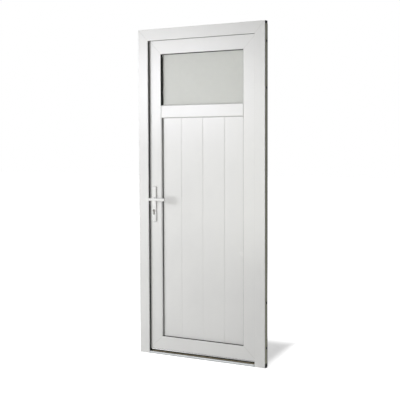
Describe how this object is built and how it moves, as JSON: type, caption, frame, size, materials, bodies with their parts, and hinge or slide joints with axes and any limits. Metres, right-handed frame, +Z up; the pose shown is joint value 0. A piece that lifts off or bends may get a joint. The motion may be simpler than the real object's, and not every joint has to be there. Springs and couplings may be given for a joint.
{
  "type": "back door",
  "caption": "White plastic back door in its frame: inward-opening leaf with obscured top light, grooved lower panel, lever handle set and low threshold.",
  "frame": {"origin": "on the underside of the threshold, at mid width and at the middle of the frame's depth", "axes": "+X across the door to the hinge side, +Y from the weather side to the room, +Z up"},
  "size_m": [0.88, 0.1882, 2],
  "materials": {
    "frame_pvc": "satin white extruded PVC, olive grey core at the wall side",
    "leaf_pvc": "satin white extruded PVC",
    "panel_skin": "satin white PVC sheet",
    "gasket": "matt black EPDM",
    "obscure_glass": "obscured, fine stipple",
    "clear_glass": "clear float",
    "spacer_metal": "mill finish",
    "threshold_metal": "satin anodised",
    "lock_steel": "zinc plated",
    "handle_enamel": "white powder coat",
    "cylinder_nickel": "matt nickel",
    "hinge_enamel": "white powder coat"
  },
  "bodies": {
    "frame": {"lock_jamb": "frame_pvc", "hinge_jamb": "frame_pvc", "frame_head": "frame_pvc", "threshold": "threshold_metal", "frame_seal": "gasket", "threshold_seal": "gasket", "lock_keepers": "lock_steel", "lower_hinge_bracket": "hinge_enamel", "middle_hinge_bracket": "hinge_enamel", "upper_hinge_bracket": "hinge_enamel", "hinge_pins": "lock_steel"},
    "leaf": {"lock_stile": "leaf_pvc", "hinge_stile": "leaf_pvc", "leaf_top_rail": "leaf_pvc", "leaf_mid_rail": "leaf_pvc", "leaf_bottom_rail": "leaf_pvc", "leaf_seal": "gasket", "outer_pane": "obscure_glass", "inner_pane": "clear_glass", "glass_spacer": "spacer_metal", "glass_outer_gasket": "gasket", "glass_inner_gasket": "gasket", "infill_panel": "panel_skin", "panel_outer_gasket": "gasket", "panel_inner_gasket": "gasket", "outer_handle_plate": "handle_enamel", "inner_handle_plate": "handle_enamel", "lock_cylinder": "cylinder_nickel", "lock_faceplate": "lock_steel", "lock_bolts": "lock_steel", "lower_hinge_wing": "hinge_enamel", "middle_hinge_wing": "hinge_enamel", "upper_hinge_wing": "hinge_enamel", "glass_bead_left": "leaf_pvc", "glass_bead_right": "leaf_pvc", "glass_bead_top": "leaf_pvc", "glass_bead_bottom": "leaf_pvc", "panel_bead_left": "leaf_pvc", "panel_bead_right": "leaf_pvc", "panel_bead_top": "leaf_pvc", "panel_bead_bottom": "leaf_pvc"},
    "levers": {"outer_lever": "handle_enamel", "inner_lever": "handle_enamel", "lever_spindle": "lock_steel"}
  },
  "joints": [
    {"name": "leaf_swing", "type": "hinge", "parent": "frame", "child": "leaf", "pos_m": [0.406, 0.053, 1], "axis": [0, 0, -1], "range_deg": [0, 110]},
    {"name": "lever_turn", "type": "hinge", "parent": "leaf", "child": "levers", "pos_m": [-0.338, 0.02, 0.962], "axis": [0, 1, 0], "range_deg": [0, 40], "stiffness_Nm_per_rad": 1.5, "springref_deg": -28.65}
  ]
}
